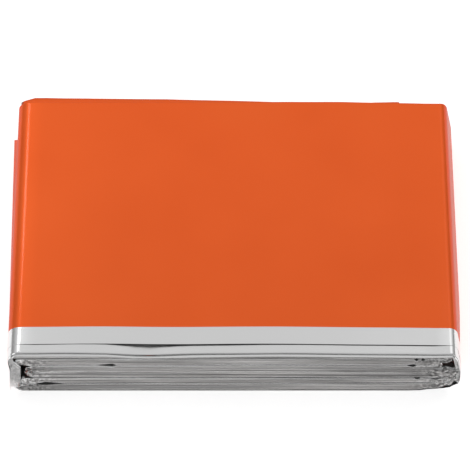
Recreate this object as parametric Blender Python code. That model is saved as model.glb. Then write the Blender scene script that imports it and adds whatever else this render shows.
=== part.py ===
"""Emergency foil blanket, folded into a flat bundle.

The blanket is one sheet of metallised film.  It is first pleated from front to back into a
narrow strip of many plies, and that strip is then folded back and forth from side to side.
Its last lengths run under the stack, up the right-hand end, over the top and down the
left-hand end.  Here the strip is one closed solid: a profile of its edge, swept along the
line on which it is folded.  Millimetres are turned into metres by MM.  X runs along the
bundle, +Y is its back, +Z is up, and the origin is in the middle of the underside.
"""

import math
from collections import namedtuple

import bmesh
import bpy
from mathutils import Vector

MM = 0.001

# Thickness of one layer of the folded strip
STRIP_THICK = 1.2
HALF_THICK = STRIP_THICK / 2

# Outer wrap: how far its end walls stand out and how round its upper corners are.  The
# right-hand one turns at a crease, then over a softer shoulder into a leaning wall.
RIGHT_WALL_FOOT = 59.9
RIGHT_LEAN_DEG = 10.5
RIGHT_CREASE_AT = 55.5
RIGHT_CREASE_RADIUS = 1.4
RIGHT_CREASE_DEG = 32.0
RIGHT_SHOULDER_RADIUS = 5.0
LEFT_WALL = 58.6
LEFT_WALL_END = 2.7
LEFT_CORNER_RADIUS = 3.0

# Bottom layer, which curls up off the ground at its right-hand end
CURL_START = 50.0
CURL_END = 58.3
CURL_RISE = 3.5
CURL_POWER = 2.4
CURL_LIP_RADIUS = 1.0

# Silver margin of the top ply, which ends short of the folds beneath it
MARGIN_EDGE = -36.7
SECOND_FOLD = -39.0
THIRD_FOLD = -39.5
MARGIN_LIFT = 0.45

# Place under the margin where the second fold sags and leaves a dark gap
SAG_CENTRE = -22.0
SAG_HALF_LENGTH = 13.0
SAG_DEPTH = 0.55

# Loose end of the wrap, which stands off the left-hand end
FLAP_BACK = 29.3
FLAP_STAND_OFF = 1.4
FLAP_MERGES_AT = -17.0
FLAP_TOP = 15.8
FLAP_FULL = 13.4

# Lower layer that shows behind the top one and stops in a square cut
REAR_CUT = 45.0
REAR_AFTER_CUT = 36.9

# Droop of the upper layers towards the right-hand end
DROOP = 0.8
DROOP_START = 25.0
DROOP_LENGTH = 31.0

# Slow waves in the layers, full at the top of the stack and none at the ground
WAVE_HEIGHT = 0.14
WAVE_LENGTH = 47.0
WAVE_GROWS_OVER = 80.0
WAVE_STARTS = 1.7
WAVE_FULL = 5.1

# Steps along the strip and across it
STEPS_INNER = 7
STEPS_OUTER = 22
STEPS_CURL = 7
STEPS_WALL = 6
STEPS_FOLD = 6
STEPS_CORNER = 5
STEPS_SHOULDER = 3
STEPS_LIP = 4
STEPS_ACROSS = 6

Layer = namedtuple("Layer", "level left right front back")

# One row for each layer of the strip, from the ground up: the height of its middle, and
# how far its folds reach.  The lowest and the top one run on into the end walls.
LAYERS = (
    Layer(0.60, -57.4, 0.0, -40.2, 38.4),
    Layer(2.35, -57.4, 48.2, -40.0, 37.9),
    Layer(4.20, -55.7, 48.2, -39.8, 38.6),
    Layer(5.80, -55.7, 56.0, -40.1, 38.2),
    Layer(7.35, -53.6, 56.0, -39.9, 37.6),
    Layer(8.95, -53.6, 56.9, -39.7, 38.3),
    Layer(10.75, -54.0, 56.9, -40.0, 38.9),
    Layer(12.45, -54.0, 53.9, -39.8, 38.1),
    Layer(14.00, -56.5, 53.9, -39.6, 37.7),
    Layer(15.80, -56.5, 56.2, -39.8, 38.4),
    Layer(17.50, -57.0, 56.2, -39.5, 40.2),
    Layer(19.30, 0.0, 0.0, -39.5, 37.1),
)
REAR_LAYER = len(LAYERS) - 2
TOP_LAYER = len(LAYERS) - 1

Reach = namedtuple("Reach", "x back")

# Back edge of the layer that shows behind the top one, from left to right
REAR_EDGE = (
    Reach(-57.0, 38.9),
    Reach(-55.2, 40.1),
    Reach(-20.0, 39.7),
    Reach(0.0, 39.2),
    Reach(16.0, 38.6),
    Reach(28.0, 38.3),
    Reach(44.9, 39.1),
)

# One place on the folding line: where it is, how far the strip reaches to the front and
# the back there, and how much of the outer ply's stepped front edge it has (0 to 1)
Station = namedtuple("Station", "x z front back stepped")


def smooth(value):
    """Ease from 0 to 1."""
    t = min(max(value, 0.0), 1.0)
    return t * t * (3 - 2 * t)


def rear_edge(x):
    """Back edge of the rear layer at x: eased between its rows, square after the cut."""
    if x > REAR_CUT:
        return REAR_AFTER_CUT
    for near, far in zip(REAR_EDGE, REAR_EDGE[1:]):
        if x <= far.x:
            share = smooth((x - near.x) / (far.x - near.x))
            return near.back + share * (far.back - near.back)
    return REAR_EDGE[-1].back


def span(start, end, steps):
    """Points after start, up to and with end, along a straight line."""
    return [
        (start[0] + (end[0] - start[0]) * i / steps, start[1] + (end[1] - start[1]) * i / steps)
        for i in range(1, steps + 1)
    ]


def arc(centre, radius, start_deg, end_deg, steps):
    """Points after the start angle, up to and with the end angle."""
    points = []
    for i in range(1, steps + 1):
        angle = math.radians(start_deg + (end_deg - start_deg) * i / steps)
        points.append((centre[0] + radius * math.cos(angle), centre[1] + radius * math.sin(angle)))
    return points


def inner_stations():
    """The free inner end, then down the stack, back and forth, to the bottom layer."""
    rear = LAYERS[REAR_LAYER]
    x = rear.left
    stations = [Station(x, rear.level, rear.front, rear_edge(x), 0.0)]
    for index in range(REAR_LAYER, 0, -1):
        layer, below = LAYERS[index], LAYERS[index - 1]
        z = layer.level
        radius = (layer.level - below.level) / 2
        reach = HALF_THICK + radius
        goes_right = (REAR_LAYER - index) % 2 == 0
        turn_x = layer.right - reach if goes_right else layer.left + reach
        steps = STEPS_OUTER if index == REAR_LAYER else STEPS_INNER
        for px, pz in span((x, z), (turn_x, z), steps):
            back = rear_edge(px) if index == REAR_LAYER else layer.back
            stations.append(Station(px, pz, layer.front, back, 0.0))

        from_back = stations[-1].back
        end_deg = -90 if goes_right else 270
        turn = arc((turn_x, z - radius), radius, 90, end_deg, STEPS_FOLD)
        for step, (px, pz) in enumerate(turn, start=1):
            share = step / STEPS_FOLD
            front = layer.front + share * (below.front - layer.front)
            back = from_back + share * (below.back - from_back)
            stations.append(Station(px, pz, front, back, 0.0))
        x = turn_x
    return stations


def wrap_stations():
    """The bottom layer, the curl, the right-hand end, the top layer and the left-hand end."""
    bottom, top = LAYERS[0], LAYERS[TOP_LAYER]
    ground, roof = bottom.level, top.level
    stations = []

    # The run along the ground is straight and flat, so it has no stations between its ends
    for i in range(STEPS_CURL + 1):
        share = i / STEPS_CURL
        x = CURL_START + share * (CURL_END - CURL_START)
        z = ground + CURL_RISE * share ** CURL_POWER
        stations.append(Station(x, z, bottom.front + 0.5 * share, bottom.back, 0.0))

    foot = (RIGHT_WALL_FOOT - HALF_THICK, ground + CURL_RISE + CURL_LIP_RADIUS + 0.6)
    crease = (RIGHT_CREASE_AT, roof - RIGHT_CREASE_RADIUS)
    turn = math.radians(RIGHT_CREASE_DEG)
    back_off = RIGHT_SHOULDER_RADIUS - RIGHT_CREASE_RADIUS
    centre = (crease[0] - back_off * math.cos(turn), crease[1] - back_off * math.sin(turn))
    shoulder = arc(centre, RIGHT_SHOULDER_RADIUS, RIGHT_LEAN_DEG, RIGHT_CREASE_DEG, STEPS_SHOULDER)
    head = arc(centre, RIGHT_SHOULDER_RADIUS, RIGHT_LEAN_DEG, RIGHT_LEAN_DEG, 1)[0]
    lip = arc((foot[0] - CURL_LIP_RADIUS, foot[1]), CURL_LIP_RADIUS, -60, 0, STEPS_LIP)
    corner = arc(crease, RIGHT_CREASE_RADIUS, RIGHT_CREASE_DEG, 90, STEPS_CORNER)
    climb = lip + span(foot, head, STEPS_WALL) + shoulder + corner
    for i, (x, z) in enumerate(climb, start=1):
        share = i / len(climb)
        front = bottom.front + 0.5 + share * (top.front - bottom.front - 0.5)
        back = bottom.back + share * (top.back - bottom.back)
        stations.append(Station(x, z, front, back, smooth(share * 1.3 - 0.3)))

    left_x = -(LEFT_WALL - HALF_THICK)
    corner_x = left_x + LEFT_CORNER_RADIUS
    line = span((climb[-1][0], roof), (corner_x, roof), STEPS_OUTER)
    corner = arc((corner_x, roof - LEFT_CORNER_RADIUS), LEFT_CORNER_RADIUS, 90, 180, STEPS_CORNER)
    for x, z in line + corner:
        stations.append(Station(x, z, top.front, top.back, 1.0))

    start = (left_x, roof - LEFT_CORNER_RADIUS)
    wall = span(start, (left_x, LEFT_WALL_END + HALF_THICK), STEPS_WALL + 3)
    for i, (x, z) in enumerate(wall, start=1):
        back = FLAP_BACK if i > 1 else FLAP_BACK + 1.5
        stations.append(Station(x, z, top.front, back, 1.0 - 0.6 * i / len(wall)))
    return stations


def outward(stations, index):
    """Unit vector square to the folding line, towards the face that ends up outside."""
    before = stations[max(index - 1, 0)]
    after = stations[min(index + 1, len(stations) - 1)]
    along = Vector((after.x - before.x, after.z - before.z)).normalized()
    return along.y, -along.x


def profile(station):
    """Closed outline of the strip's cut edge as (y, offset) pairs, offset outwards."""
    h = HALF_THICK
    front, back, s = station.front, station.back, station.stepped
    sag = SAG_DEPTH * math.cos(math.pi / 2 * min(abs(station.x - SAG_CENTRE) / SAG_HALF_LENGTH, 1)) ** 2
    round_edge = [
        (front + 0.50, h),
        (front + 0.25, h * 0.85),
        (front + 0.08, h * 0.50),
        (front, 0.0),
        (front + 0.10, -h * 0.60),
        (front + 0.40, -h),
    ]
    step_edge = [
        (MARGIN_EDGE, h),
        (MARGIN_EDGE - 0.08, h - MARGIN_LIFT - sag),
        (SECOND_FOLD + 0.25, h - MARGIN_LIFT - 0.08 - sag),
        (SECOND_FOLD, h - MARGIN_LIFT - 0.20 - sag * 0.6),
        (THIRD_FOLD, -h * 0.60),
        (THIRD_FOLD + 0.30, -h),
    ]
    edge = [
        (a[0] + s * (b[0] - a[0]), a[1] + s * (b[1] - a[1]))
        for a, b in zip(round_edge, step_edge)
    ]
    back_edge = [(back - 0.35, -h), (back, -h * 0.4), (back, h * 0.4), (back - 0.35, h)]
    outer_face = [(y, h) for y, _ in span((back - 0.35, 0), (edge[0][0], 0), STEPS_ACROSS)[:-1]]
    inner_face = [(y, -h) for y, _ in span((edge[-1][0], 0), (back - 0.35, 0), STEPS_ACROSS)[:-1]]
    return edge + inner_face + back_edge + outer_face


def settle(x, y, z):
    """Let the stack lie as soft film does: slow waves, a droop, and the loose left end."""
    height = z / LAYERS[TOP_LAYER].level
    droop = DROOP * smooth((x - DROOP_START) / DROOP_LENGTH)
    wave = WAVE_HEIGHT * math.sin(2 * math.pi * x / WAVE_LENGTH + 0.8)
    wave *= 0.5 - y / WAVE_GROWS_OVER
    lifted = smooth((z - WAVE_STARTS) / (WAVE_FULL - WAVE_STARTS))
    z += (wave - droop * height) * height * lifted

    if x < -(LEFT_WALL - STRIP_THICK - 0.1):
        along = smooth((y - FLAP_MERGES_AT) / (FLAP_BACK - FLAP_MERGES_AT))
        down = smooth((FLAP_TOP - z) / (FLAP_TOP - FLAP_FULL))
        x -= FLAP_STAND_OFF * along * down
    return x, y, z


def blanket_mesh():
    """Wrap a flat grid round the strip's profile, station by station, and close its ends."""
    stations = inner_stations() + wrap_stations()
    around = len(profile(stations[0]))

    bm = bmesh.new()
    bmesh.ops.create_grid(
        bm,
        x_segments=len(stations) - 1,
        y_segments=around,
        size=1.0,
    )
    for vert in bm.verts:
        column = round((vert.co.x + 1) / 2 * (len(stations) - 1))
        row = round((vert.co.y + 1) / 2 * around) % around
        station = stations[column]
        y, offset = profile(station)[row]
        out_x, out_z = outward(stations, column)
        x, y, z = settle(station.x + out_x * offset, y, station.z + out_z * offset)
        vert.co = Vector((x, y, z)) * MM

    bmesh.ops.remove_doubles(bm, verts=bm.verts, dist=0.00001 * MM)
    open_edges = [edge for edge in bm.edges if edge.is_boundary]
    bmesh.ops.holes_fill(bm, edges=open_edges, sides=0)
    bmesh.ops.recalc_face_normals(bm, faces=bm.faces)

    mesh = bpy.data.meshes.new("foil_blanket")
    bm.to_mesh(mesh)
    bm.free()
    mesh.shade_smooth()
    mesh.set_sharp_from_angle(angle=math.radians(50))
    return mesh


def film_material():
    """Glossy orange film over a metal layer."""
    material = bpy.data.materials.new("orange_film")
    material.use_nodes = True
    shader = material.node_tree.nodes["Principled BSDF"]
    shader.inputs["Base Color"].default_value = (0.72, 0.112, 0.026, 1.0)
    shader.inputs["Roughness"].default_value = 0.28
    shader.inputs["Metallic"].default_value = 0.25
    return material


def main():
    for thing in list(bpy.data.objects):
        bpy.data.objects.remove(thing)
    blanket = bpy.data.objects.new("foil_blanket", blanket_mesh())
    blanket.data.materials.append(film_material())
    bpy.context.scene.collection.objects.link(blanket)


main()
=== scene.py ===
# %% [markdown]
# # An emergency foil blanket, folded flat
# The real thing is one large sheet of plastic film with a breath of metal on it: glossy orange
# on one face, mirror silver on the other, and left unprinted along one long edge. A machine
# pleats it lengthwise into a narrow strip of many plies, and the strip is then folded back
# and forth until it fits a pocket. We do just that: lay out a flat grid and fold it in code.
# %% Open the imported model
import math
from collections import namedtuple

import bmesh
import bpy
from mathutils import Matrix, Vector, noise


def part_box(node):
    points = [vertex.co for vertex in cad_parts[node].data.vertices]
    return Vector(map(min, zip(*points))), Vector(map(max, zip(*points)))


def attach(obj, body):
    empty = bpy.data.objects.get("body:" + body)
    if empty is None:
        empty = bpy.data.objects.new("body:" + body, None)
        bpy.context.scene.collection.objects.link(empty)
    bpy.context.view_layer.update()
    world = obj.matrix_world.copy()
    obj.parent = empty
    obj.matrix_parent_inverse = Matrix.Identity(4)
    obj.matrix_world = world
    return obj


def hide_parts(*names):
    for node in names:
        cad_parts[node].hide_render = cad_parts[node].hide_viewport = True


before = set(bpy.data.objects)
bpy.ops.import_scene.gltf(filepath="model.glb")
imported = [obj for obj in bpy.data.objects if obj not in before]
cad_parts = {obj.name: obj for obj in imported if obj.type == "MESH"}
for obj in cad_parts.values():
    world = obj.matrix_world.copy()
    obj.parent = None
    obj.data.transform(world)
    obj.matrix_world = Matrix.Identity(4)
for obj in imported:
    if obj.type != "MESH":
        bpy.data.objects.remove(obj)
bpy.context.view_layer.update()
scene = bpy.context.scene
MM = 0.001
NODE = "foil_blanket"
box_low, box_high = (Vector(corner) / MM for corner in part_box(NODE))
print("solid blanket, mm:", [round(v, 1) for v in box_low], [round(v, 1) for v in box_high])

# %% [markdown]
# ## The camera
# The blanket was photographed with a long lens from high up in front, so its sides hardly
# draw together. A camera far away with a narrow view gives the same flat perspective. It is
# placed on a circle round a target in the middle of the bundle: one angle, one distance.
# %% Place the camera
# Lengths are in millimetres and MM turns them into Blender's metres.
CAMERA_RISE_DEG = 60.0
CAMERA_DISTANCE = 712.0
CAMERA_TARGET = Vector((0.2, 1.5, 10.0))
FRAME_PX = 470
PX_PER_MM = 3.73
SENSOR = 36.0

rise = math.radians(CAMERA_RISE_DEG)
camera_data = bpy.data.cameras.new("camera")
camera_data.sensor_width = SENSOR
camera_data.lens = PX_PER_MM * CAMERA_DISTANCE / FRAME_PX * SENSOR
camera_data.clip_start = 0.01
camera = bpy.data.objects.new("camera", camera_data)
towards_camera = Vector((0, -math.cos(rise), math.sin(rise)))
camera.location = (CAMERA_TARGET + CAMERA_DISTANCE * towards_camera) * MM
camera.rotation_euler = (math.pi / 2 - rise, 0, 0)
scene.collection.objects.link(camera)
scene.camera = camera
print("lens, mm:", round(camera_data.lens, 1))

# %% [markdown]
# ## Helpers for soft shapes
# Film has no sharp turns, so most of what follows is eased: `smooth` goes gently from 0 to 1,
# `bump` rises and falls again round a centre, and `span` and `arc` give the points of a
# straight run and of a bend.
# %% Easing and short curves
def smooth(value):
    t = min(max(value, 0.0), 1.0)
    return t * t * (3 - 2 * t)


def bump(value, centre, half_width):
    return smooth(1 - abs(value - centre) / half_width)


def blend(a, b, share):
    return a + (b - a) * share


NOISE_TO_ONE = 1.6


def ripple(x, y=0.0, z=0.0):
    """Smooth noise from about -1 to 1, the same on every run."""
    return noise.noise(Vector((x, y, z))) * NOISE_TO_ONE


def span(start, end, steps):
    shares = [i / steps for i in range(1, steps + 1)]
    return [(blend(start[0], end[0], share), blend(start[1], end[1], share)) for share in shares]


def arc(centre, radius, start_deg, end_deg, steps):
    turn = [math.radians(blend(start_deg, end_deg, i / steps)) for i in range(1, steps + 1)]
    return [(centre[0] + radius * math.cos(a), centre[1] + radius * math.sin(a)) for a in turn]


# %% [markdown]
# ## The folding line
# Seen from the front, the strip runs along a line: it starts inside the stack, goes back and
# forth down to the lowest layer, then runs under the whole stack, up the right-hand end, over
# the top and down the left-hand end. One row of the table is one layer, from the ground up,
# and says how far its folds reach. The reaches are those of the solid blanket in the frame.
# %% Table of layers
SOLID_HALF_THICK = 0.6

Layer = namedtuple("Layer", "level left right front back")
LAYERS = (
    Layer(0.60, -57.4, 0.0, -40.2, 38.4),
    Layer(2.35, -57.4, 48.2, -40.0, 37.9),
    Layer(4.20, -55.7, 48.2, -39.8, 38.6),
    Layer(5.80, -55.7, 56.0, -40.1, 38.2),
    Layer(7.35, -53.6, 56.0, -39.9, 37.6),
    Layer(8.95, -53.6, 56.9, -39.7, 38.3),
    Layer(10.75, -54.0, 56.9, -40.0, 38.9),
    Layer(12.45, -54.0, 53.9, -39.8, 38.1),
    Layer(14.00, -56.5, 53.9, -39.6, 37.7),
    Layer(15.80, -56.5, 56.2, -39.8, 38.4),
    Layer(17.50, -57.0, 56.2, -39.5, 40.2),
    Layer(19.30, 0.0, 0.0, -39.5, 37.5),
)
REAR_LAYER = len(LAYERS) - 2
TOP_LAYER = len(LAYERS) - 1

Reach = namedtuple("Reach", "x back")
REAR_EDGE = (
    Reach(-57.0, 38.9),
    Reach(-55.2, 40.1),
    Reach(-20.0, 39.7),
    Reach(0.0, 39.2),
    Reach(16.0, 38.6),
    Reach(28.0, 38.3),
    Reach(44.9, 39.1),
)
REAR_CUT = 45.0
REAR_AFTER_CUT = 36.9


def rear_edge(x):
    """Back edge of the layer that shows behind the top one."""
    if x > REAR_CUT:
        return REAR_AFTER_CUT
    for near, far in zip(REAR_EDGE, REAR_EDGE[1:]):
        if x <= far.x:
            return blend(near.back, far.back, smooth((x - near.x) / (far.x - near.x)))
    return REAR_EDGE[-1].back


# %% [markdown]
# The wrap needs a few sizes of its own: where its two end walls stand, how round the upper
# corners are, and how the lowest layer curls up at the right. A `Station` is one place on the
# line, with the reach of the strip to the front and back there.
# %% Stations along the folding line
RIGHT_WALL_FOOT = 59.9
RIGHT_LEAN_DEG = 10.5
RIGHT_CREASE_AT = 55.5
RIGHT_CREASE_RADIUS = 1.4
RIGHT_CREASE_DEG = 32.0
RIGHT_SHOULDER_RADIUS = 5.0
LEFT_WALL = 58.6
LEFT_WALL_END = 2.7
LEFT_WALL_LEAN = 0.6
LEFT_CORNER_RADIUS = 3.0
CURL_START = 50.0
CURL_END = 58.3
CURL_RISE = 3.5
CURL_POWER = 2.4
CURL_FORWARD = 0.5
CURL_LIP_RADIUS = 1.0
CURL_LIP_STANDS = 0.6
CURL_LIP_FROM_DEG = -60.0
PINCH_START = 44.0
PINCH_STRETCH = 2.9
PINCH_FLOOR = 1.48
PINCH_ROOF = 5.02
PINCHED_BELOW = 3
FLAP_BACK = 29.3
FLAP_TOP = 15.8
FLAP_FULL = 13.6
SHOULDER_SLOPE = 1.3

STEPS_INNER = 12
STEPS_REAR = 20
STEPS_BOTTOM = 16
STEPS_TOP = 30
STEPS_CURL = 7
STEPS_WALL = 8
STEPS_FOLD = 5
STEPS_CORNER = 6
STEPS_SHOULDER = 4
STEPS_LIP = 3
STEPS_FLAP_EDGE = 3
CUT_WIDTH = 0.1

# `outer` and `inner` are the room that the plies have on each side of the line.
Station = namedtuple("Station", "x z front back layer outer inner")
TOP_ROOM = 0.74
WALL_ROOM = 0.80
LEFT_WALL_ROOM = 2.7
LEFT_WALL_OUTER = 0.45
LEFT_WALL_SWELLS = 13.8
LEFT_WALL_EASE = 1.5
LEFT_WALL_FORWARD = 0.6


def room(index):
    """Half the distance between a layer's middle and the next one below."""
    if index > TOP_LAYER:
        return TOP_ROOM
    return (LAYERS[index].level - LAYERS[index - 1].level) / 2 if index else LAYERS[0].level


def rooms(index):
    """Room for the strip on its outer and inner side: it lies face down in even layers."""
    return (room(index), room(index + 1)) if index % 2 == 0 else (room(index + 1), room(index))


# A gap opens in the front between two layers: where it is deepest, how far it runs to the
# left and right of that, between which levels, and how deep it is.
Gap = namedtuple("Gap", "x left right z depth")
GAPS = (
    Gap(-31.6, 4.2, 1.0, 13.20, 0.62),
    Gap(-49.6, 2.6, 4.8, 3.30, 0.70),
    Gap(-52.4, 1.2, 1.2, 9.85, 0.60),
    Gap(46.4, 1.6, 0.9, 13.20, 0.65),
    Gap(50.8, 1.0, 1.0, 9.85, 0.65),
    Gap(47.8, 0.9, 0.9, 6.60, 0.60),
    Gap(52.6, 3.4, 1.2, 6.60, 0.50),
    Gap(47.2, 0.7, 0.4, 16.65, 0.70),
    Gap(48.75, 0.4, 0.7, 16.65, 0.70),
    Gap(-36.0, 22.0, 22.0, 9.85, 0.12),
    Gap(40.0, 18.0, 18.0, 9.85, 0.14),
    Gap(-34.0, 16.0, 16.0, 3.30, 0.14),
    Gap(18.0, 16.0, 16.0, 6.60, 0.12),
)
SHORT_GAP = 5.0
GAP_NEAR = 1.0
GAP_TIP = 0.01
GAP_REACH = 0.7
PUCKER = [46.7, 47.2, 47.55, 47.9, 48.3, 48.7, 49.2]
PUCKER_ABOVE = 13.5


def layer_run(start, end, z, steps):
    """Points along a layer, closer together near its folds and at each short gap."""
    middle, half = (start + end) / 2, (end - start) / 2
    line = [middle - half * math.cos(math.pi * i / steps) for i in range(1, steps + 1)]
    for gap in GAPS:
        if gap.left < SHORT_GAP and abs(gap.z - z) < GAP_NEAR:
            line += [gap.x - gap.left, gap.x + GAP_TIP, gap.x + gap.right]
    if z == LAYERS[REAR_LAYER].level:
        line += [REAR_CUT - CUT_WIDTH, REAR_CUT + CUT_WIDTH]
    if z > PUCKER_ABOVE and min(start, end) < PUCKER[0] < max(start, end):
        line += PUCKER
    return [(x, z) for x in sorted(line, reverse=start > end)]


def curl_rise(x):
    """How far the lowest layer has curled up at a place along it."""
    return CURL_RISE * min(max((x - CURL_START) / (CURL_END - CURL_START), 0.0), 1.0) ** CURL_POWER


def squeezed(station):
    """The right-hand ends of the second and third layers are drawn out over the curl."""
    if station.x < PINCH_START or station.z > PINCH_ROOF:
        return station
    x = PINCH_START + (station.x - PINCH_START) * PINCH_STRETCH
    floor_now = PINCH_FLOOR + curl_rise(x)
    share = (PINCH_ROOF - floor_now) / (PINCH_ROOF - PINCH_FLOOR)
    z = PINCH_ROOF - (PINCH_ROOF - station.z) * share
    return station._replace(x=x, z=z, outer=station.outer * share, inner=station.inner * share)


def inner_stations():
    """From the free inner end down the stack to the turn into the lowest layer."""
    rear = LAYERS[REAR_LAYER]
    x = rear.left
    stations = [Station(x, rear.level, rear.front, rear_edge(x), REAR_LAYER, *rooms(REAR_LAYER))]
    for index in range(REAR_LAYER, 0, -1):
        layer, below = LAYERS[index], LAYERS[index - 1]
        z, radius = layer.level, room(index)
        goes_right = index % 2 == 0
        reach = SOLID_HALF_THICK + radius
        turn_x = layer.right - reach if goes_right else layer.left + reach
        steps = STEPS_REAR if index == REAR_LAYER else STEPS_INNER
        for px, pz in layer_run(x, turn_x, z, steps):
            back = rear_edge(px) if index == REAR_LAYER else layer.back
            stations.append(Station(px, pz, layer.front, back, index, *rooms(index)))
        from_back = stations[-1].back
        turn = arc((turn_x, z - radius), radius, 90, -90 if goes_right else 270, STEPS_FOLD)
        for step, (px, pz) in enumerate(turn, start=1):
            share = step / STEPS_FOLD
            front, back = blend(layer.front, below.front, share), blend(from_back, below.back, share)
            outer, inner = (blend(a, b, share) for a, b in zip(rooms(index), rooms(index - 1)))
            stations.append(Station(px, pz, front, back, index - share, outer, inner))
        x = turn_x
    return [squeezed(station) if 0 < station.layer < PINCHED_BELOW else station for station in stations]


def wrap_stations(start_x):
    """The lowest layer, the curl, the right-hand end, the top and the left-hand end."""
    bottom, top = LAYERS[0], LAYERS[TOP_LAYER]
    ground, roof = bottom.level, top.level
    run = layer_run(start_x, CURL_START, ground, STEPS_BOTTOM)
    stations = [Station(x, z, bottom.front, bottom.back, 0, *rooms(0)) for x, z in run]
    for i in range(1, STEPS_CURL + 1):
        share = i / STEPS_CURL
        x = blend(CURL_START, CURL_END, share)
        z = ground + curl_rise(x)
        front = bottom.front + CURL_FORWARD * share
        stations.append(Station(x, z, front, bottom.back, 0, *rooms(0)))

    lip_z = ground + CURL_RISE + CURL_LIP_RADIUS + CURL_LIP_STANDS
    foot = (RIGHT_WALL_FOOT - SOLID_HALF_THICK, lip_z)
    crease = (RIGHT_CREASE_AT, roof - RIGHT_CREASE_RADIUS)
    turn = math.radians(RIGHT_CREASE_DEG)
    back_off = RIGHT_SHOULDER_RADIUS - RIGHT_CREASE_RADIUS
    centre = (crease[0] - back_off * math.cos(turn), crease[1] - back_off * math.sin(turn))
    head = arc(centre, RIGHT_SHOULDER_RADIUS, RIGHT_LEAN_DEG, RIGHT_LEAN_DEG, 1)[0]
    lip = (foot[0] - CURL_LIP_RADIUS, foot[1])
    climb = arc(lip, CURL_LIP_RADIUS, CURL_LIP_FROM_DEG, 0, STEPS_LIP)
    climb += span(foot, head, STEPS_WALL)
    climb += arc(centre, RIGHT_SHOULDER_RADIUS, RIGHT_LEAN_DEG, RIGHT_CREASE_DEG, STEPS_SHOULDER)
    climb += arc(crease, RIGHT_CREASE_RADIUS, RIGHT_CREASE_DEG, 90, STEPS_CORNER)
    for i, (x, z) in enumerate(climb, start=1):
        share = i / len(climb)
        front = blend(bottom.front + CURL_FORWARD, top.front, share)
        back = blend(bottom.back, top.back, share)
        outer = blend(room(0), TOP_ROOM, share)
        stations.append(Station(x, z, front, back, TOP_LAYER, outer, WALL_ROOM))

    left_x = -(LEFT_WALL - SOLID_HALF_THICK)
    corner = (left_x + LEFT_CORNER_RADIUS, roof - LEFT_CORNER_RADIUS)
    line = span((climb[-1][0], roof), (corner[0], roof), STEPS_TOP)
    line = sorted(line + [(x, roof) for x in PUCKER], reverse=True)
    line += arc(corner, LEFT_CORNER_RADIUS, 90, 180, STEPS_CORNER)
    reach = (top.front, top.back)
    stations += [Station(x, z, *reach, TOP_LAYER, TOP_ROOM, WALL_ROOM) for x, z in line]
    wall = [(left_x, FLAP_TOP + CUT_WIDTH)]
    wall += span((left_x, FLAP_TOP), (left_x, FLAP_FULL), STEPS_FLAP_EDGE)
    foot = (left_x - LEFT_WALL_LEAN, LEFT_WALL_END + SOLID_HALF_THICK)
    wall += span((left_x, FLAP_FULL), foot, STEPS_WALL)
    for x, z in wall:
        shoulder = min(max((z - FLAP_FULL) / (FLAP_TOP - FLAP_FULL), 0.0), 1.0)
        back = FLAP_BACK - SHOULDER_SLOPE * shoulder
        swell = smooth((LEFT_WALL_SWELLS - z) / LEFT_WALL_EASE)
        outer = blend(TOP_ROOM, LEFT_WALL_OUTER, swell)
        inner = blend(WALL_ROOM, LEFT_WALL_ROOM, swell)
        front = top.front - LEFT_WALL_FORWARD * swell
        stations.append(Station(x, z, front, back, TOP_LAYER, outer, inner))
    return stations


stations = inner_stations()
stations += wrap_stations(stations[-1].x)
print("stations on the folding line:", len(stations))

# %% [markdown]
# ## The pleats
# The strip is the sheet pleated from front to back. Each ply is one panel. Panel 0 lies
# outermost and starts at the unprinted edge; then the film turns at the back, at the front,
# at the back, and so on inwards. `Row` is one line of grid points along the strip: on which
# ply it lies and how far from front (0) to back (1). Visible plies get more rows.
# %% Rows across the sheet
PLIES = 28
TOP_ROWS = 14
MARGIN_SHARES = [0.0, 0.0008, 0.006]
REAR_SHARES = [0.995, 1.0]
UNDER_MARGIN_SHARES = [0.0, 0.008, 0.022, 0.040, 0.08, 1.0]
HIDDEN_SHARES = [0.0, 0.012, 1.0]
INNERMOST_SHARES = [0.0, 0.012, 0.94, 0.985, 1.0]
Row = namedtuple("Row", "ply share bend")


def ply_shares(ply):
    """Where the rows of a ply lie, closest together where its front edge shows."""
    if ply == 0:
        return MARGIN_SHARES + [i / TOP_ROWS for i in range(1, TOP_ROWS)] + REAR_SHARES
    if ply in (1, 2):
        return UNDER_MARGIN_SHARES
    return INNERMOST_SHARES if ply == PLIES - 1 else HIDDEN_SHARES


def sheet_rows():
    """All rows from the unprinted edge to the far edge, with one in the bend of each fold."""
    rows = []
    for ply in range(PLIES):
        goes_back = ply % 2 == 0
        shares = ply_shares(ply) if goes_back else ply_shares(ply)[::-1]
        rows += [Row(ply, share, False) for share in shares]
        if ply < PLIES - 1:
            rows.append(Row(ply, 1.0 if goes_back else 0.0, True))
    return rows


rows = sheet_rows()
print("rows across the sheet:", len(rows))

# %% [markdown]
# How the plies lie on each other decides what the front of the bundle looks like. The first
# ply, with the silver margin, ends short of the folds beneath it; the next two folds step
# forward one after the other; the rest make up the fine lines. Every fold also wanders a
# little along its length, and the plies cling together in bunches with dark lines between.
# %% Where each fold ends and how the plies are spaced
FILL = 0.96
FOLD_SIZE = 0.03
MARGIN_SETBACK = 2.8
SECOND_FOLD_SETBACK = 0.15
THIRD_FOLD_STANDS_OUT = 0.55
MARGIN_LIFT = 0.25
MARGIN_TIGHT_AT = 57.0
MARGIN_TIGHT_EASE = 5.0
MARGIN_UNEVEN = 0.45
SECOND_FOLD_LIFT = 0.32
END_CLING = 0.15
END_CLING_EASE = 3.0
FIRST_INNER_PLY = 3
STEP_HIDDEN = 0.12
SAG_AT = -22.5
SAG_HALF = 12.0
SAG_TIP = 0.50
SAG_TROUGH = 0.92
SAG_THIRD = 0.90
PLY_CLEARANCE = 0.11
SAG_TO_RIGHT = 20.0
SAG_RUNS_OUT = 30.0
SAG_LIP_SHARE = 0.022
SAG_ENDS_SHARE = 0.03
SAG_FADE_SHARE = 0.06
FRONT_SHARE = 0.2
LEVEL = 0.99
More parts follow.
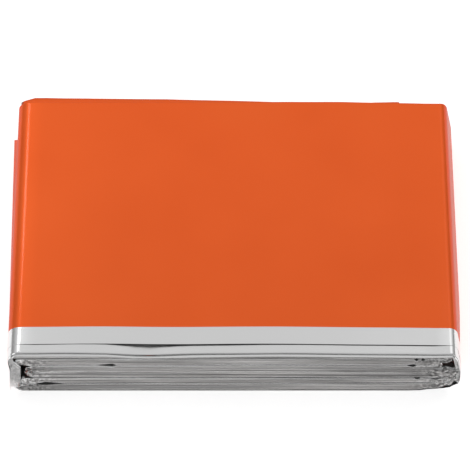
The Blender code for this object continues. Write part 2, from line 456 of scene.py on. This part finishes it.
FIRST_LIFT = 0.02
UNDER_FIRST = 0.04
UNDER_SECOND = 0.12
LOOSE_PLY_HANGS = 1.0
LOOSE_PLY_AT_END = 0.42
LOOSE_PLY_GAP = 0.75
LOOSE_PLY_SETBACK = 0.35
LOOSE_PLY_IN = 0.1
LOOSE_EASE = 3.0
LOOSE_END_EASE = 4.5
LOOSE_SHARE = 0.25

# The unevenness of the folds is noise of a size, with a grain along the strip and across it.
Uneven = namedtuple("Uneven", "size along across seed")
FOLD_STEPS_BACK = 0.30
BUNCHES = Uneven(0.24, 0.015, 0.95, 0.0)
LINES = Uneven(0.16, 0.05, 2.6, 4.0)
FINE = Uneven(0.10, 0.25, 3.7, 5.1)
RIM = Uneven(0.20, 0.04, 9.1, 0.0)
RIM_SIZE = 0.22
RIM_POWER = 6
MARGIN_WANDERS = Uneven(0.08, 0.05, 0.0, 3.1)
SECOND_WANDERS = Uneven(0.08, 0.06, 0.0, 7.7)
THIRD_WANDERS = Uneven(0.05, 0.06, 0.0, 2.9)
LIFT_WANDERS = Uneven(MARGIN_UNEVEN, 0.06, 0.0, 5.5)
REAR_UNEVEN = Uneven(0.12, 0.08, 1.7, 1.3)
REAR_STEP = 0.02


def wander(uneven, x):
    """Slow unevenness along one fold."""
    return uneven.size * ripple(x * uneven.along, uneven.seed)


def directions(station, out_z):
    """Coordinates along the folding line and across the stack, for noise."""
    level = abs(out_z)
    return blend(station.z, station.x, level), blend(station.x, station.z, level)


def fold_front(station, fold, out_z, offset):
    """How far forward a fold comes: fold 0 is the free edge with the margin."""
    x, front = station.x, station.front
    outer = station.layer == TOP_LAYER
    if fold == 0 and station.layer == 0:
        return front + LOOSE_PLY_SETBACK * smooth((x - CURL_START + 2) / LOOSE_EASE) + LOOSE_PLY_IN
    if fold == 0:
        return front + MARGIN_SETBACK * (1 if outer else STEP_HIDDEN) + wander(MARGIN_WANDERS, x)
    if fold == 1 and outer:
        return front + SECOND_FOLD_SETBACK + wander(SECOND_WANDERS, x)
    if fold == 2 and outer:
        return front - THIRD_FOLD_STANDS_OUT + wander(THIRD_WANDERS, x)
    along, across = directions(station, out_z)
    across += offset
    bunches = BUNCHES.size * ripple(along * BUNCHES.along, across * BUNCHES.across)
    lines = LINES.size * ripple(along * LINES.along, across * LINES.across, LINES.seed)
    fine = FINE.size * ripple(along * FINE.along, fold * FINE.across, station.layer * FINE.seed)
    rim = RIM_SIZE + RIM.size * ripple(along * RIM.along, station.layer * RIM.across)
    rim *= abs(2 * fold / (PLIES / 2) - 1) ** RIM_POWER
    return front + FOLD_STEPS_BACK + bunches + lines + fine + rim


def fold_back(station, fold):
    """How far back a fold comes: each lies a little inside the one around it."""
    uneven = REAR_UNEVEN
    wave = ripple(station.x * uneven.along, fold * uneven.across, station.layer * uneven.seed)
    return station.back - REAR_STEP * fold - uneven.size * abs(wave)


def parting(station, z):
    """How far the layer stands back from its neighbour at a height, at a gap in the front."""
    depth = 0.0
    for gap in GAPS:
        if abs(z - gap.z) < GAP_REACH:
            depth += gap.depth * bump(station.x, gap.x, gap.left if station.x < gap.x else gap.right)
    return depth


def sag_reach(x):
    """The sag is short to the left of its deepest place and runs out slowly to the right."""
    return SAG_HALF + SAG_TO_RIGHT * smooth((x - SAG_AT) / SAG_RUNS_OUT)


def sag(x, share):
    """How deep the second and third plies sink below the margin."""
    depth = blend(SAG_TIP, SAG_TROUGH, smooth(share / SAG_LIP_SHARE))
    depth *= smooth(1 - (share - SAG_ENDS_SHARE) / SAG_FADE_SHARE)
    return depth * bump(x, SAG_AT, sag_reach(x))


def ply_offset(station, out_z, ply, share):
    """Distance of a ply from the middle of the strip, outwards."""
    outer, inner = station.outer * FILL, station.inner * FILL
    near_front = 1 - smooth(share / LOOSE_SHARE)
    if station.layer == 0 and ply:
        outer -= LOOSE_PLY_GAP * smooth((station.x - CURL_START + 2.5) / LOOSE_EASE) * near_front
    if abs(out_z) > LEVEL:
        outer -= parting(station, station.z + out_z * station.outer) * (1 - share)
        inner -= parting(station, station.z - out_z * station.inner) * (1 - share)
    even = blend(outer, -inner, ply / (PLIES - 1))
    if station.layer == 0 and ply == 0:
        at_end = smooth((station.x - CURL_END + LOOSE_END_EASE) / LOOSE_END_EASE)
        hangs = blend(LOOSE_PLY_HANGS, LOOSE_PLY_AT_END, at_end)
        return even + curl_rise(station.x) * hangs * near_front
    if station.layer != TOP_LAYER:
        return even
    from_end = MARGIN_TIGHT_AT - abs(station.x)
    lift = MARGIN_LIFT * smooth(from_end / MARGIN_TIGHT_EASE)
    lift = FIRST_LIFT + lift * (1 + wander(LIFT_WANDERS, station.x))
    if ply == 0:
        front = outer
    elif ply < FIRST_INNER_PLY:
        front = outer - lift - UNDER_FIRST - PLY_CLEARANCE * (ply - 1) - sag(station.x, share)
    else:
        cling = blend(END_CLING, 1, smooth((from_end + 1) / END_CLING_EASE))
        third = outer - lift - UNDER_SECOND - SECOND_FOLD_LIFT * cling
        third -= SAG_THIRD * bump(station.x, SAG_AT, sag_reach(station.x))
        front = blend(third, -inner, (ply - FIRST_INNER_PLY) / (PLIES - 1 - FIRST_INNER_PLY))
    return blend(even, front, smooth(1 - share / FRONT_SHARE))


def strip_point(station, out_z, row):
    """A grid point in the strip's own terms: (y, offset outwards)."""
    front_fold, back_fold = (row.ply + 1) // 2, row.ply // 2
    offset = ply_offset(station, out_z, row.ply, row.share)
    if row.bend:
        offset = (offset + ply_offset(station, out_z, row.ply + 1, row.share)) / 2
        if row.share:
            return fold_back(station, back_fold), offset
        return fold_front(station, front_fold, out_z, offset), offset
    front = fold_front(station, front_fold, out_z, offset) + (FOLD_SIZE if row.ply else 0)
    back = fold_back(station, back_fold) - FOLD_SIZE
    return blend(front, back, row.share), offset


# %% [markdown]
# ## How the bundle has settled
# The last step moves every point of the folded sheet by one smooth rule, so that plies that
# lie on each other stay that way. It holds the slow waves in the stack, the droop at the
# right, the flap that stands off at the left, the crushed front corners, and a few listed dents
# and bulges. The wrap around the stack only takes the dents marked for it.
# %% Settle the stack
DROOP = 0.8
DROOP_START = 25.0
DROOP_LENGTH = 31.0
WAVE_HEIGHT = 0.14
WAVE_LENGTH = 47.0
WAVE_GROWS_OVER = 80.0
WAVE_STARTS = 1.7
WAVE_FULL = 5.1
WAVE_PHASE = 0.8
FLAP_STAND_OFF = 1.15

CRUMPLE_FROM = 49.0
CRUMPLE_BACK = -33.0
CRUMPLE_EASE = 5.0
CRUMPLE_FLOOR = 3.0
CRUMPLE_CALM_ABOVE = 15.0
CRUMPLE_CALM = 0.8
CRUMPLE_LEFT_END = -54.5
CRUMPLE_LEFT_SHARE = 0.25
CRUMPLE_GRAIN = 0.55
CRUMPLE_SIZE = (0.35, 0.7, 0.35)
CRUMPLE_SHIFTS = (Vector((3.1, 0.0, 9.4)), Vector((0.0, 7.7, 2.8)), Vector((5.3, 1.9, 0.0)))


def crumple(x, y, z):
    """Small crushed folds at the two front corners, below the top."""
    share = smooth((abs(x) - CRUMPLE_FROM) / CRUMPLE_EASE) * smooth((CRUMPLE_BACK - y) / CRUMPLE_EASE)
    share *= smooth(z / CRUMPLE_FLOOR)
    share *= 1 - CRUMPLE_CALM * smooth((z - CRUMPLE_CALM_ABOVE) / CRUMPLE_FLOOR)
    share *= CRUMPLE_LEFT_SHARE if x < CRUMPLE_LEFT_END else 1
    if not share:
        return x, y, z
    grain = Vector((x, y, z)) * CRUMPLE_GRAIN
    push_x, push_y, push_z = (noise.noise(grain + shift) * share for shift in CRUMPLE_SHIFTS)
    size_x, size_y, size_z = CRUMPLE_SIZE
    return x + push_x * size_x, y + push_y * size_y, z + push_z * size_z


DENT_COLUMNS = "x y z reach_x reach_y reach_z move_x move_y move_z on_wrap"
Dent = namedtuple("Dent", DENT_COLUMNS, defaults=(False,))
DENTS = (
    Dent(-57.6, 37.5, 17.5, 3.5, 6.0, 1.7, -1.25, 0.0, 0.0),
    Dent(57.5, -41.0, 7.6, 5.0, 16.0, 4.0, 2.6, 0.0, 0.0),
    Dent(55.5, -41.0, 15.2, 4.5, 12.0, 1.7, 0.0, 0.0, 0.7),
    Dent(57.5, -41.0, 11.4, 5.5, 12.0, 2.2, 0.0, 0.0, -1.3),
    Dent(-53.4, -41.0, 9.6, 2.5, 10.0, 2.6, -0.9, 0.0, 0.0),
    Dent(52.8, -41.0, 10.9, 2.0, 3.0, 1.1, 0.0, -1.3, 0.3),
    Dent(53.8, -41.0, 8.6, 1.0, 3.0, 0.8, 0.0, -1.1, 0.0),
    Dent(47.95, -41.5, 16.8, 0.7, 3.0, 2.2, 0.0, -1.2, 0.0, True),
    Dent(60.0, -41.0, 3.0, 4.0, 24.0, 9.0, -0.9, 0.0, 0.0, True),
    Dent(-57.5, -41.0, 3.2, 4.0, 3.5, 2.6, 0.0, -0.5, -1.6, True),
)


def dented(x, y, z, on_wrap):
    """Move a point by the dents and bulges near it, each one listed."""
    for dent in DENTS:
        if on_wrap and not dent.on_wrap:
            continue
        share = bump(x, dent.x, dent.reach_x) * bump(y, dent.y, dent.reach_y)
        share *= bump(z, dent.z, dent.reach_z)
        if share:
            x, y, z = x + dent.move_x * share, y + dent.move_y * share, z + dent.move_z * share
    return x, y, z


def settle(x, y, z, on_wrap):
    """Where a point of the folded sheet ends up once the bundle has settled."""
    if not on_wrap:
        x, y, z = crumple(x, y, z)
    x, y, z = dented(x, y, z, on_wrap)
    height = z / LAYERS[TOP_LAYER].level
    droop = DROOP * smooth((x - DROOP_START) / DROOP_LENGTH)
    wave = WAVE_HEIGHT * math.sin(2 * math.pi * x / WAVE_LENGTH + WAVE_PHASE)
    wave *= 0.5 - y / WAVE_GROWS_OVER
    lifted = smooth((z - WAVE_STARTS) / (WAVE_FULL - WAVE_STARTS))
    z += (wave - droop * height) * height * lifted
    if x < -(LEFT_WALL - 2 * SOLID_HALF_THICK - CUT_WIDTH):
        along = (y - LAYERS[TOP_LAYER].front) / (FLAP_BACK - LAYERS[TOP_LAYER].front)
        x -= FLAP_STAND_OFF * along * smooth((FLAP_TOP - z) / (FLAP_TOP - FLAP_FULL))
    return x, y, z


# %% [markdown]
# ## Fold the flat grid
# `bmesh.ops.create_grid` lays out the flat sheet. Its columns become the stations and its
# rows the pleats: each point looks up where its place in the sheet has gone. The flat
# position is kept as a UV map in metres, so patterns on the film follow it round every fold.
# %% Make the sheet
def outward(index):
    """Unit vector square to the folding line, towards the printed face."""
    before, after = stations[max(index - 1, 0)], stations[min(index + 1, len(stations) - 1)]
    along = Vector((after.x - before.x, after.z - before.z)).normalized()
    return along.y, -along.x


def flat_lengths():
    """Distance along the sheet of every station."""
    lengths = [0.0]
    for a, b in zip(stations, stations[1:]):
        lengths.append(lengths[-1] + math.hypot(b.x - a.x, b.z - a.z))
    return lengths


def flat_widths():
    """Distance across the sheet of every row, from the unprinted edge."""
    panel = LAYERS[TOP_LAYER].back - LAYERS[TOP_LAYER].front
    widths = []
    for row in rows:
        share = row.share if row.ply % 2 == 0 else 1 - row.share
        short = MARGIN_SETBACK * (1 - share) if row.ply == 0 else 0
        widths.append((row.ply + share) * panel - short)
    first = widths[0]
    return [width - first for width in widths]


columns, lines = len(stations), len(rows)
normals = [outward(i) for i in range(columns)]
lengths, widths = flat_lengths(), flat_widths()

bm = bmesh.new()
bmesh.ops.create_grid(bm, x_segments=columns - 1, y_segments=lines - 1, size=1.0)
film_map = bm.loops.layers.uv.new("film")
place = {}
for vert in bm.verts:
    column = round((vert.co.x + 1) / 2 * (columns - 1))
    line = round((vert.co.y + 1) / 2 * (lines - 1))
    place[vert] = (column, line)
for face in bm.faces:
    for loop in face.loops:
        column, line = place[loop.vert]
        loop[film_map].uv = (lengths[column] * MM, widths[line] * MM)
for vert, (column, line) in place.items():
    station, row = stations[column], rows[line]
    out_x, out_z = normals[column]
    y, offset = strip_point(station, out_z, row)
    on_wrap = station.layer == TOP_LAYER
    x, y, z = settle(station.x + out_x * offset, y, station.z + out_z * offset, on_wrap)
    vert.co = Vector((x, y, z)) * MM

outer_faces = [f for f in bm.faces if all(place[v][1] <= TOP_ROWS for v in f.verts)]
top_face = max(outer_faces, key=lambda face: face.calc_center_median().z)
top_face.normal_update()
if top_face.normal.z < 0:
    bmesh.ops.reverse_faces(bm, faces=bm.faces)
sheet_mesh = bpy.data.meshes.new("foil_sheet")
bm.to_mesh(sheet_mesh)
bm.free()
sheet_mesh.shade_smooth()
blanket = bpy.data.objects.new("foil_sheet", sheet_mesh)
scene.collection.objects.link(blanket)
print("triangles with both faces:", 4 * (columns - 1) * (lines - 1))
print("grid of", columns, "x", lines, "points")
print("sheet, m:", round(lengths[-1] * MM, 3), "x", round(widths[-1] * MM, 3))

# %% [markdown]
# The film gets its thickness from Solidify. The modifier's material offset gives the second
# face a slot of its own, which is how one sheet can be orange outside and silver inside.
# %% Give the film two faces
FILM_THICK = 0.012
film = blanket.modifiers.new("film_thickness", "SOLIDIFY")
film.thickness = FILM_THICK * MM
film.offset = -1
film.material_offset = 1
film.material_offset_rim = 0

# %% [markdown]
# ## Film finishes
# Both faces are metallised plastic. The orange face is a clear orange film over metal, so it
# keeps its colour in the reflections and shows a pale clear-coat gloss at a flat angle. On the
# top ply its colour carries painted shade: darker towards the front, lighter towards the back.
# The silver face is the bare metal layer. Deep in the stack it is painted dark grey near the
# front folds, in lighter and darker lines, as painted shade between the plies. The crushed film
# at the two ends is painted in light and dark specks as painted light and shade. The margin is
# where the orange print stops, 5 mm from the edge of the sheet, which the UV map gives.
# %% Node helpers
def node(tree, kind, inputs=None, **settings):
    made = tree.nodes.new(kind)
    for name, value in settings.items():
        setattr(made, name, value)
    for name, value in (inputs or {}).items():
        if isinstance(value, bpy.types.NodeSocket):
            tree.links.new(value, made.inputs[name])
        else:
            made.inputs[name].default_value = value
    return made


def film_bump(tree, flat):
    """Soft dents and fine creases of thin film, as a surface normal."""
    dents = node(tree, "ShaderNodeTexNoise", {"Vector": flat, "Scale": 60.0, "Detail": 2.0})
    creases = node(tree, "ShaderNodeTexNoise", {
        "Vector": flat, "Scale": 420.0, "Detail": 3.0, "Roughness": 0.6,
    })
    soft = node(tree, "ShaderNodeBump", {
        "Height": dents.outputs["Fac"], "Strength": 1.0, "Distance": 0.00006,
    })
    fine = node(tree, "ShaderNodeBump", {
        "Height": creases.outputs["Fac"], "Strength": 1.0, "Distance": 0.000006,
        "Normal": soft.outputs["Normal"],
    })
    return fine.outputs["Normal"]


def crushed_ends(tree):
    """Where the film was pinched low down at the two ends: how much (0 to 1), and the facets."""
    spot = node(tree, "ShaderNodeTexCoord").outputs["Object"]
    split = node(tree, "ShaderNodeSeparateXYZ", {"Vector": spot})
    outwards = node(tree, "ShaderNodeMath", {
        0: split.outputs["X"],
    }, operation="ABSOLUTE").outputs["Value"]
    at_end = node(tree, "ShaderNodeMapRange", {"Value": outwards, "From Min": 0.045, "From Max": 0.054})
    below = node(tree, "ShaderNodeMapRange", {
        "Value": split.outputs["Z"], "From Min": 0.0165, "From Max": 0.0175, "To Min": 1.0,
        "To Max": 0.0,
    })
    amount = node(tree, "ShaderNodeMath", {
        0: at_end.outputs["Result"], 1: below.outputs["Result"],
    }, operation="MULTIPLY")
    facets = node(tree, "ShaderNodeTexNoise", {"Vector": spot, "Scale": CRINKLE_SCALE, "Detail": 1.0})
    return amount.outputs["Value"], facets.outputs["Fac"]


# %% Orange print over metal
CRINKLE_DEPTH = 0.00035
CRINKLE_SCALE = 1100.0
# Painted light and shade: crushed film at the ends is painted in light and dark specks.
CRINKLE_PAINTED_SHADE = 0.50
CRINKLE_PAINTED_LIGHT = 1.55
MARGIN_WIDTH = 5.4
# Painted shade: the top ply's orange is scaled from darker at its front to lighter at its back.
PAINTED_SHADE_ACROSS = 78.0
PAINTED_SHADE_FRONT = 0.95
PAINTED_SHADE_BACK = 1.05
ORANGE = (0.98, 0.136, 0.021, 1.0)
EDGE_TINT = (0.16, 0.05, 0.02, 1.0)
SILVER = (0.755, 0.755, 0.755, 1.0)
# Painted shade: plies deep in the stack are painted dark grey near their front folds, in lighter and
# darker lines, for the shadow between plies and the light on their edges.
FOLD_SHADE_GREY = (0.60, 0.585, 0.58, 1.0)
FOLD_SHADE_WIDTH = 0.5
BRIGHT_PANELS = 4.5
STRAND_SCALE = (14.0, 1.2, 1.0)
STRAND_PAINTED_SHADE = 0.56
STRAND_PAINTED_LIGHT = 1.42
STRAND_RANGE = (0.36, 0.66)
END_SHADE_SHARE = 0.35


def orange_face():
    material = bpy.data.materials.new("orange_film")
    material.use_nodes = True
    tree = material.node_tree
    tree.nodes.clear()
    flat = node(tree, "ShaderNodeUVMap", uv_map="film").outputs["UV"]
    bumps = film_bump(tree, flat)
    across = node(tree, "ShaderNodeSeparateXYZ", {"Vector": flat}).outputs["Y"]
    middle, half_print = widths[-1] * MM / 2, (widths[-1] / 2 - MARGIN_WIDTH) * MM
    printed = node(tree, "ShaderNodeMath", {
        0: across, 1: middle, 2: half_print,
    }, operation="COMPARE").outputs["Value"]
    cloud = node(tree, "ShaderNodeTexNoise", {"Vector": flat, "Scale": 30.0, "Detail": 2.0})
    tint = node(tree, "ShaderNodeValToRGB", {"Fac": cloud.outputs["Fac"]})
    tint.color_ramp.elements[0].color = (ORANGE[0] * 0.92, ORANGE[1] * 0.88, ORANGE[2] * 0.80, 1)
    tint.color_ramp.elements[1].color = (ORANGE[0] * 1.04, ORANGE[1] * 1.12, ORANGE[2] * 1.25, 1)
    # Painted shade across the top ply: its orange is darker towards the front and lighter towards the
    # back.
    shade = node(tree, "ShaderNodeMapRange", {
        "Value": across, "From Max": PAINTED_SHADE_ACROSS * MM, "To Min": PAINTED_SHADE_FRONT, "To Max": PAINTED_SHADE_BACK,
    })
    shaded = node(tree, "ShaderNodeVectorMath", {
        0: tint.outputs["Color"], "Scale": shade.outputs["Result"],
    }, operation="SCALE")
    orange = node(tree, "ShaderNodeBsdfPrincipled", {
        "Base Color": shaded.outputs["Vector"], "Normal": bumps, "Metallic": 0.65, "Roughness": 0.44,
        "Specular IOR Level": 0.3, "Specular Tint": EDGE_TINT, "Coat Weight": 0.27,
        "Coat Roughness": 0.13,
    })
    silver = node(tree, "ShaderNodeBsdfPrincipled", {
        "Base Color": SILVER, "Normal": bumps, "Metallic": 1.0, "Roughness": 0.24,
    })
    mixed = node(tree, "ShaderNodeMixShader", {
        0: printed, 1: silver.outputs["BSDF"], 2: orange.outputs["BSDF"],
    })
    node(tree, "ShaderNodeOutputMaterial", {"Surface": mixed.outputs["Shader"]})
    return material


def bright_ends():
    """Upright stretches at both ends, in metres along the sheet; they get less painted shade."""
    wrap = [(length * MM, at.x) for length, at in zip(lengths, stations) if at.layer == TOP_LAYER]
    right = [length for length, x in wrap if x > RIGHT_CREASE_AT]
    left = [length for length, x in wrap if x < LEFT_CORNER_RADIUS - LEFT_WALL]
    return [(right[0], right[-1]), (left[0], left[-1] + MM)]


def silver_face():
    material = bpy.data.materials.new("silver_film")
    material.use_nodes = True
    tree = material.node_tree
    tree.nodes.clear()
    flat = node(tree, "ShaderNodeUVMap", uv_map="film").outputs["UV"]
    across = node(tree, "ShaderNodeSeparateXYZ", {"Vector": flat}).outputs["Y"]
    panel = (LAYERS[TOP_LAYER].back - LAYERS[TOP_LAYER].front) * MM
    # Painted shade mask: near the front folds of plies deep in the stack; less of it on the upright
    # ends.
    past_margin = node(tree, "ShaderNodeMath", {
        0: across, 1: MARGIN_SETBACK * MM,
    }, operation="SUBTRACT").outputs["Value"]
    from_fold = node(tree, "ShaderNodeMath", {
        0: past_margin, 1: panel,
    }, operation="PINGPONG").outputs["Value"]
    near_fold = node(tree, "ShaderNodeMapRange", {
        "Value": from_fold, "From Min": FOLD_SHADE_WIDTH * MM, "From Max": FOLD_SHADE_WIDTH * MM * 1.6,
        "To Min": 1.0, "To Max": 0.0,
    })
    inside = node(tree, "ShaderNodeMath", {
        0: across, 1: panel * BRIGHT_PANELS,
    }, operation="GREATER_THAN").outputs["Value"]
    along = node(tree, "ShaderNodeSeparateXYZ", {"Vector": flat}).outputs["X"]
    painted_shade_mask = node(tree, "ShaderNodeMath", {
        0: near_fold.outputs["Result"], 1: inside,
    }, operation="MULTIPLY").outputs["Value"]
    # On the upright ends the painted shade is cut to about a third.
    for first, last in bright_ends():
        at_end = node(tree, "ShaderNodeMath", {
            0: along, 1: (first + last) / 2, 2: (last - first) / 2,
        }, operation="COMPARE")
        elsewhere = node(tree, "ShaderNodeMapRange", {
            "Value": at_end.outputs["Value"], "To Min": 1.0, "To Max": END_SHADE_SHARE,
        }).outputs["Result"]
        painted_shade_mask = node(tree, "ShaderNodeMath", {
            0: painted_shade_mask, 1: elsewhere,
        }, operation="MULTIPLY").outputs["Value"]
    # Painted light and shade: noise makes lighter and darker lines along the plies in the painted grey.
    strands = node(tree, "ShaderNodeVectorMath", {
        0: flat, 1: STRAND_SCALE,
    }, operation="MULTIPLY").outputs["Vector"]
    strand = node(tree, "ShaderNodeTexNoise", {"Vector": strands, "Scale": 1.0, "Detail": 2.0})
    painted_fold_lines = node(tree, "ShaderNodeValToRGB", {"Fac": strand.outputs["Fac"]})
    tones = zip(painted_fold_lines.color_ramp.elements, STRAND_RANGE, (STRAND_PAINTED_SHADE, STRAND_PAINTED_LIGHT))
    for element, position, light_shade_tone in tones:
        element.position = position
        element.color = tuple(channel * light_shade_tone for channel in FOLD_SHADE_GREY[:3]) + (1.0,)
    crushed, facets = crushed_ends(tree)
    depth = node(tree, "ShaderNodeMath", {
        0: crushed, 1: CRINKLE_DEPTH,
    }, operation="MULTIPLY").outputs["Value"]
    crinkle = node(tree, "ShaderNodeBump", {
        "Height": facets, "Strength": 1.0, "Distance": depth, "Normal": film_bump(tree, flat),
    })
    # Painted light and shade: the crushed film at the two ends gets light and dark specks from the
    # facet noise.
    light_shade_tone = node(tree, "ShaderNodeMapRange", {
        "Value": facets, "From Min": 0.4, "From Max": 0.6, "To Min": CRINKLE_PAINTED_SHADE,
        "To Max": CRINKLE_PAINTED_LIGHT,
    })
    light_shade_tone = node(tree, "ShaderNodeMix", {
        "Factor": crushed, 2: 1.0, 3: light_shade_tone.outputs["Result"],
    }).outputs[0]
    painted_fold_shade = node(tree, "ShaderNodeVectorMath", {
        0: painted_fold_lines.outputs["Color"], "Scale": light_shade_tone,
    }, operation="SCALE")
    # The silver turns to the painted shade grey near the folds, where the same mask also roughens it.
    grey = node(tree, "ShaderNodeMix", {
        "Factor": painted_shade_mask, 6: SILVER, 7: painted_fold_shade.outputs["Vector"],
    }, data_type="RGBA")
    dull = node(tree, "ShaderNodeMapRange", {"Value": painted_shade_mask, "To Min": 0.22, "To Max": 0.42})
    silver = node(tree, "ShaderNodeBsdfPrincipled", {
        "Base Color": grey.outputs[2], "Normal": crinkle.outputs["Normal"], "Metallic": 1.0,
        "Roughness": dull.outputs["Result"],
    })
    node(tree, "ShaderNodeOutputMaterial", {"Surface": silver.outputs["BSDF"]})
    return material


blanket.data.materials.append(orange_face())
blanket.data.materials.append(silver_face())

# %% [markdown]
# ## Stage and light
# A white table, a bright sky and four soft lamps: the plain studio of a catalogue picture.
# Mirror film shows nothing but its surroundings, so the light is in large, soft pieces, and
# the picture is shown without a film look so that white stays white.
# %% Floor, sky and lamps
TABLE_GLOW = 0.60


def table_white():
    """White acrylic, lit a little from below."""
    material = bpy.data.materials.new("table_white")
    material.use_nodes = True
    shader = material.node_tree.nodes["Principled BSDF"]
    shader.inputs["Base Color"].default_value = (0.93, 0.93, 0.93, 1)
    shader.inputs["Roughness"].default_value = 0.9
    shader.inputs["Emission Color"].default_value = (1, 1, 1, 1)
    shader.inputs["Emission Strength"].default_value = TABLE_GLOW
    return material


bm = bmesh.new()
bmesh.ops.create_grid(bm, x_segments=1, y_segments=1, size=1.5)
floor_mesh = bpy.data.meshes.new("floor")
bm.to_mesh(floor_mesh)
bm.free()
floor = bpy.data.objects.new("floor", floor_mesh)
floor.data.materials.append(table_white())
scene.collection.objects.link(floor)

SKY_BRIGHT = 0.74
SKY_DIM = 0.27
SKY_CENTRE = (0.0, 0.5, 0.866)


def sky():
    """A broad bright patch above and behind the table, fading to a dim room."""
    world = bpy.data.worlds.new("studio")
    world.use_nodes = True
    tree = world.node_tree
    direction = node(tree, "ShaderNodeTexCoord").outputs["Generated"]
    towards = node(tree, "ShaderNodeVectorMath", {0: direction, 1: SKY_CENTRE}, operation="DOT_PRODUCT")
    fade = node(tree, "ShaderNodeMapRange", {
        "Value": towards.outputs["Value"], "From Min": 0.35, "From Max": 0.88,
    }, interpolation_type="SMOOTHSTEP")
    strength = node(tree, "ShaderNodeMapRange", {
        "Value": fade.outputs["Result"], "To Min": SKY_DIM, "To Max": SKY_BRIGHT,
    })
    tree.links.new(strength.outputs["Result"], tree.nodes["Background"].inputs["Strength"])
    tree.nodes["Background"].inputs["Color"].default_value = (1, 1, 1, 1)
    return world


scene.world = sky()

Lamp = namedtuple("Lamp", "name size power place")
LAMPS = (
    Lamp("left_back", 0.12, 0.42, (-0.36, 0.42, 0.62)),
    Lamp("left_low", 0.40, 1.0, (-0.9, -0.3, 0.5)),
    Lamp("right_low", 0.50, 0.6, (1.1, -0.4, 0.5)),
    Lamp("right_fill", 0.60, 0.6, (0.62, 0.50, 1.05)),
)
for lamp in LAMPS:
    light = bpy.data.lights.new(lamp.name, "AREA")
    light.shape = "SQUARE"
    light.size = lamp.size
    light.energy = lamp.power
    holder = bpy.data.objects.new(lamp.name, light)
    holder.location = lamp.place
    holder.rotation_euler = (-Vector(lamp.place)).to_track_quat("-Z", "Y").to_euler()
    scene.collection.objects.link(holder)
scene.view_settings.view_transform = "Standard"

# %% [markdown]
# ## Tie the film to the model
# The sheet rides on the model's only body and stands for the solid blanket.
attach(blanket, "root")
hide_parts(NODE)
